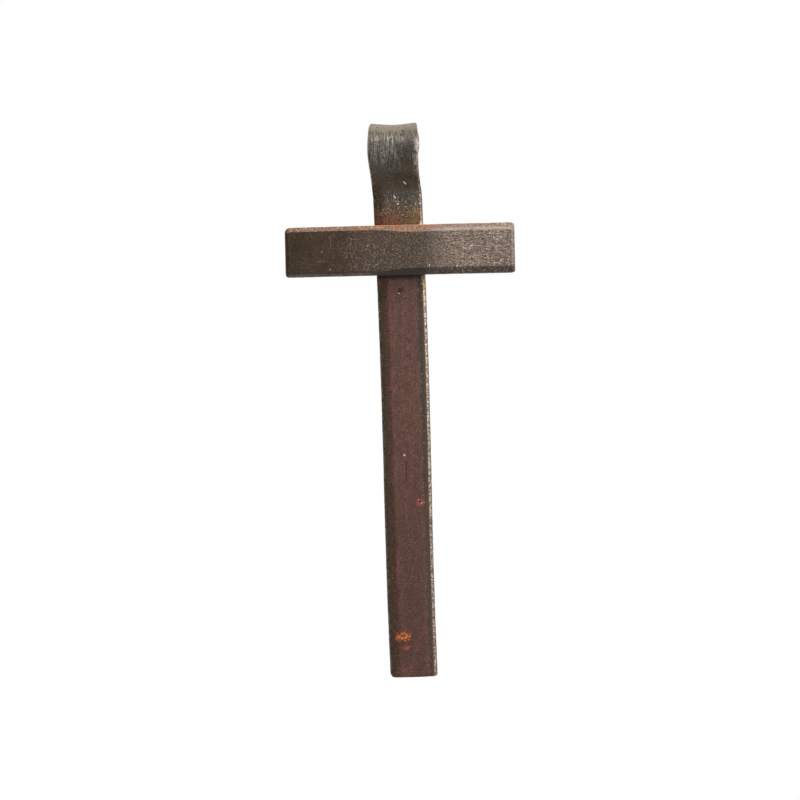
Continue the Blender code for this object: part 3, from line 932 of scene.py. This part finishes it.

# %% [markdown]
# ### The crossbar's finish
#
# Hands wore this bar more. Its face is an olive-brown wax over dark metal: smooth and stained red on
# the left arm, speckled at the crossing, and glossier to the right, where it is painted paler too as a
# painted highlight, with short hairlines. Rust stays on the upper chamfer. The lower one is painted
# nearly black as painted shade, with a painted reflection of the floor along its lower edge, and the
# right end's bevel and a line along the top of the right arm carry painted highlights.

# %% Coat the crossbar
UPPER_CHAMFER, LOWER_CHAMFER = ("faces_z", 0.22, 0.42), ("faces_z", -0.22, -0.42)
CROSSING_LEFT, CROSSING_RIGHT = ("x", -20.0, -9.0), ("x", 20.0, 9.0)
crossbar_finish = forged_iron(
    "rubbed forged iron",
    dict(colour="#30251a", roughness=0.35, metal=0.55),
    [
        # brown wax in clouds
        dict(colour="#3b2a1a", grain=(5, 5, 4), cut=(0.35, 0.65), roughness=0.38, metal=0.5),
        # red film that fades to the left
        dict(
            colour="#46271a", grain=(4, 4, 4), cut=(0.50, 0.68), seed=3.0, cover=0.6, roughness=0.5,
            metal=0.3,
            region=(("x", 8.0, -6.0), ("x", -36.0, -20.0)),
        ),
        # the glossier right arm, painted paler as well: a painted highlight of the lights on it
        dict(
            colour="#85736a", grain=(1.0, 1.0, 0.45), cut=(0.34, 0.72), seed=5.0, cover=0.75,
            roughness=0.34, metal=0.6,
            region=(("x", 5.5, 21.5),),
        ),
        # black grains from the middle on
        dict(
            colour="#140d08", grain=(0.6, 0.6, 0.45), cut=(0.50, 0.63), seed=8.0, cover=0.65,
            roughness=0.5, metal=0.3,
            region=(("x", -36.0, -4.0),),
        ),
        # a smoother olive left arm
        dict(
            colour="#4c3c2b", grain=(4.0, 3.0, 3.0), cut=(0.20, 0.60), seed=50.0, cover=0.4,
            roughness=0.4, metal=0.4,
            region=(("x", -12.0, -32.0),),
        ),
        # red-brown stains on it
        dict(
            colour="#50281c", grain=(2.2, 2.0, 1.5), cut=(0.46, 0.62), seed=57.0, cover=0.4,
            roughness=0.45, metal=0.3,
            region=(("x", -8.0, -18.0), ("x", -40.0, -28.0)),
        ),
        # dark grains on it
        dict(
            colour="#1b130c", grain=(0.9, 0.9, 0.8), cut=(0.46, 0.60), seed=43.0, cover=0.6,
            roughness=0.5, metal=0.3,
            region=(("x", -4.0, -30.0),),
        ),
        # dark grains round the crossing
        dict(
            colour="#1e0f08", grain=(0.8, 0.8, 0.8), cut=(0.47, 0.57), seed=51.0, cover=0.78,
            roughness=0.5, metal=0.2,
            region=(("x", -38.0, -10.0), ("x", 26.0, 6.0)),
        ),
        # pale grains round the crossing
        dict(
            colour="#a3866c", grain=(0.55, 0.55, 0.5), cut=(0.58, 0.66), seed=49.0, cover=0.5,
            roughness=0.4, metal=0.4,
            region=(("x", -40.0, -10.0), ("x", 26.0, 6.0), FRONT),
        ),
        # pale grains towards the right arm
        dict(
            colour="#97846f", grain=(0.5, 0.5, 0.45), cut=(0.59, 0.70), seed=11.0, cover=0.4,
            roughness=0.35, metal=0.5,
            region=(("x", -40.0, -8.0),),
        ),
        # pale specks on the left arm
        dict(
            colour="#85735e", grain=(0.7, 0.6, 0.5), cut=(0.59, 0.69), seed=44.0, cover=0.45,
            roughness=0.35, metal=0.5,
            region=(("x", -8.0, -40.0),),
        ),
        # the lit backs of the wrinkles
        dict(
            colour="#b8a696", grain=(1.5, 0.8, 0.42), cut=(0.55, 0.67), seed=55.0, cover=0.33,
            roughness=0.36, metal=0.6,
            region=(("x", 8.0, 24.0), FRONT),
        ),
        # the upper chamfer, a pinkish brown
        dict(
            colour="#6d5145", grain=(1.4, 1.4, 1.4), cut=(0.30, 0.60), seed=14.0, roughness=0.65,
            metal=0.1,
            region=(UPPER_CHAMFER,),
        ),
        # duller at the right end of it
        dict(
            colour="#5a493f", grain=(2.5, 2.5, 2.5), cut=(0.42, 0.62), seed=15.0, roughness=0.5,
            metal=0.4,
            region=(UPPER_CHAMFER, ("x", 24.0, 34.0)),
        ),
        # orange rust on it at the crossing
        dict(
            colour="#804c28", grain=(1.1, 1.1, 1.1), cut=(0.38, 0.62), seed=17.0, roughness=0.75,
            metal=0.0,
            region=(UPPER_CHAMFER, CROSSING_LEFT, CROSSING_RIGHT),
        ),
        # dark specks on it
        dict(
            colour="#33211a", grain=(0.6, 0.6, 0.6), cut=(0.50, 0.62), seed=30.0, cover=0.55,
            roughness=0.7, metal=0.0,
            region=(UPPER_CHAMFER,),
        ),
        # a rubbed line between it and the face
        dict(
            colour="#b3946a", grain=(0.6, 0.6, 0.6), cut=(0.54, 0.66), seed=19.0, cover=0.8,
            roughness=0.6, metal=0.2,
            region=(("faces_z", 0.16, 0.32), ("faces_z", 0.70, 0.55)),
        ),
        # a painted highlight: a soft pale line along the top of the right arm
        dict(
            colour="#787069", grain=(2.0, 1.0, 0.8), cut=(0.26, 0.50), seed=45.0, cover=0.85,
            roughness=0.5, metal=0.3,
            region=(("inside", 1.3, 1.8), ("inside", 3.0, 2.5), ("x", 9.0, 18.0), FRONT),
        ),
        # the top side, dull brown
        dict(
            colour="#4a3020", grain=(2, 2, 2), cut=(0.20, 0.40), seed=23.0, roughness=0.75, metal=0.0,
            region=(("faces_z", 0.72, 0.9),),
        ),
        # rust on the top side
        dict(
            colour="#7d4a22", grain=(1.6, 1.6, 1.6), cut=(0.42, 0.62), seed=35.0, cover=0.9,
            roughness=0.8, metal=0.0,
            region=(("faces_z", 0.86, 0.96),),
        ),
        # a rusty line at its front edge
        dict(
            colour="#a06a34", grain=(1.2, 1.2, 1.2), cut=(0.30, 0.55), seed=36.0, roughness=0.75,
            metal=0.0,
            region=(("faces_z", 0.70, 0.82), ("faces_z", 0.985, 0.93)),
        ),
        # yellow rust on that line at the crossing
        dict(
            colour="#c08a50", grain=(1.0, 1.0, 1.0), cut=(0.35, 0.60), seed=33.0, cover=0.6,
            roughness=0.7, metal=0.0,
            region=(("faces_z", 0.66, 0.8), ("x", -19.0, -11.0), ("x", 20.0, 12.0)),
        ),
        # painted shade: the downward-facing lower chamfer, nearly black
        dict(
            colour="#17100b", grain=(1.2, 1.2, 0.8), cut=(0.30, 0.55), seed=20.0, roughness=0.5,
            metal=0.3,
            region=(LOWER_CHAMFER,),
        ),
        # pale specks on it
        dict(
            colour="#7a5a46", grain=(0.6, 0.6, 0.6), cut=(0.54, 0.66), seed=31.0, cover=0.6,
            roughness=0.5, metal=0.2,
            region=(LOWER_CHAMFER,),
        ),
        # a painted reflection of the pale floor on its lower edge on the right arm
        dict(
            colour="#9a7664", grain=(1.2, 1.2, 0.8), cut=(0.36, 0.56), seed=42.0, cover=0.6,
            roughness=0.5, metal=0.3,
            region=(("faces_z", -0.60, -0.72), ("faces_z", -0.95, -0.85), ("x", 0.0, 12.0)),
        ),
        # painted shade: a dark line above it on the left arm, where the face turns down
        dict(
            colour="#1c0d08", grain=(3.0, 1.5, 1.5), cut=(0.20, 0.45), seed=56.0, cover=0.85,
            roughness=0.6, metal=0.1,
            region=(("inside", 17.6, 18.0), ("faces_z", -0.55, -0.35), ("x", -4.0, -12.0), FRONT),
        ),
        # its lower edge on the left arm, paler as a painted reflection of the pale floor
        dict(
            colour="#5d4f4c", grain=(3.0, 2.0, 1.5), cut=(0.30, 0.55), seed=46.0, cover=0.9,
            roughness=0.5, metal=0.4,
            region=(("faces_z", -0.45, -0.6), ("faces_z", -0.97, -0.9), ("x", -6.0, -14.0)),
        ),
        # painted shade: its darkest stretch, at the crossing over the upright
        dict(
            colour="#160b05", grain=(2.0, 1.5, 1.5), cut=(0.20, 0.45), seed=52.0, cover=0.85,
            roughness=0.8, metal=0.0,
            region=(("faces_z", -0.15, -0.4), ("x", -13.0, -6.0), ("x", 14.0, 9.0)),
        ),
        # the rubbed bevel of the right end, painted paler too as a painted highlight of the light from the
        # right
        dict(
            colour="#645a51", grain=(0.9, 0.9, 0.9), cut=(0.32, 0.60), seed=27.0, cover=0.9,
            roughness=0.45, metal=0.4,
            region=(("faces_x", 0.25, 0.5), ("faces_x", 0.92, 0.8)),
        ),
        # the right end
        dict(
            colour="#3a2313", grain=(1.5, 1.5, 1.5), cut=(0.25, 0.50), seed=28.0, roughness=0.8,
            metal=0.0,
            region=(("faces_x", 0.8, 0.93),),
        ),
        # the left end
        dict(
            colour="#472910", grain=(1.5, 1.5, 1.5), cut=(0.25, 0.50), seed=29.0, roughness=0.8,
            metal=0.0,
            region=(("faces_x", -0.35, -0.6),),
        ),
        # rust on both ends
        dict(
            colour="#6e3f1c", grain=(1.1, 1.1, 1.1), cut=(0.48, 0.64), seed=37.0, cover=0.8,
            roughness=0.8, metal=0.0,
            region=(("sideways", 0.8, 0.95),),
        ),
        # black specks on both ends
        dict(
            colour="#1c1209", grain=(0.8, 0.8, 0.8), cut=(0.50, 0.62), seed=38.0, cover=0.8,
            roughness=0.8, metal=0.0,
            region=(("sideways", 0.8, 0.95),),
        ),
        # dark pits
        dict(
            colour="#241812", grain=(0.8, 0.8, 0.8), cut=(0.3, 0.5), cover=0.7, roughness=0.7,
            metal=0.0,
            region=(("pits", 0.4, 0.9),),
        ),
        # pale scratches
        dict(
            colour="#a08b76", grain=(1.0, 1.0, 1.0), cut=(0.32, 0.48), cover=0.7, roughness=0.4,
            metal=0.5,
            region=(("scratch", 0.05, 0.75),),
        ),
        # bare specks
        dict(
            colour="#d8cfc2", grain=(0.8, 0.8, 0.8), cut=(0.2, 0.4), roughness=0.35, metal=0.8,
            region=(("glint", 0.3, 0.7),),
        ),
    ],
    peels=((0.8, 0.06), (0.4, 0.05)),
    worn=("x", -4.0, -34.0),
)


# %% [markdown]
# ## The finished pieces
#
# Each dense bar stands for its solid and rides on the only body.


# %% Put the pieces in place
def finished(name, mesh, material, node):
    """A piece of the cross that stands for a solid."""
    mesh.materials.clear()
    mesh.materials.append(material)
    mesh.shade_smooth()
    piece = bpy.data.objects.new(name, mesh)
    bpy.context.scene.collection.objects.link(piece)
    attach(piece, "root")
    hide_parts(node)
    print(name, "has", sum(len(face.vertices) - 2 for face in mesh.polygons), "triangles")
    return piece


finished("forged_upright", upright_mesh, upright_finish, "upright")
finished("forged_crossbar", crossbar_mesh, crossbar_finish, "crossbar")
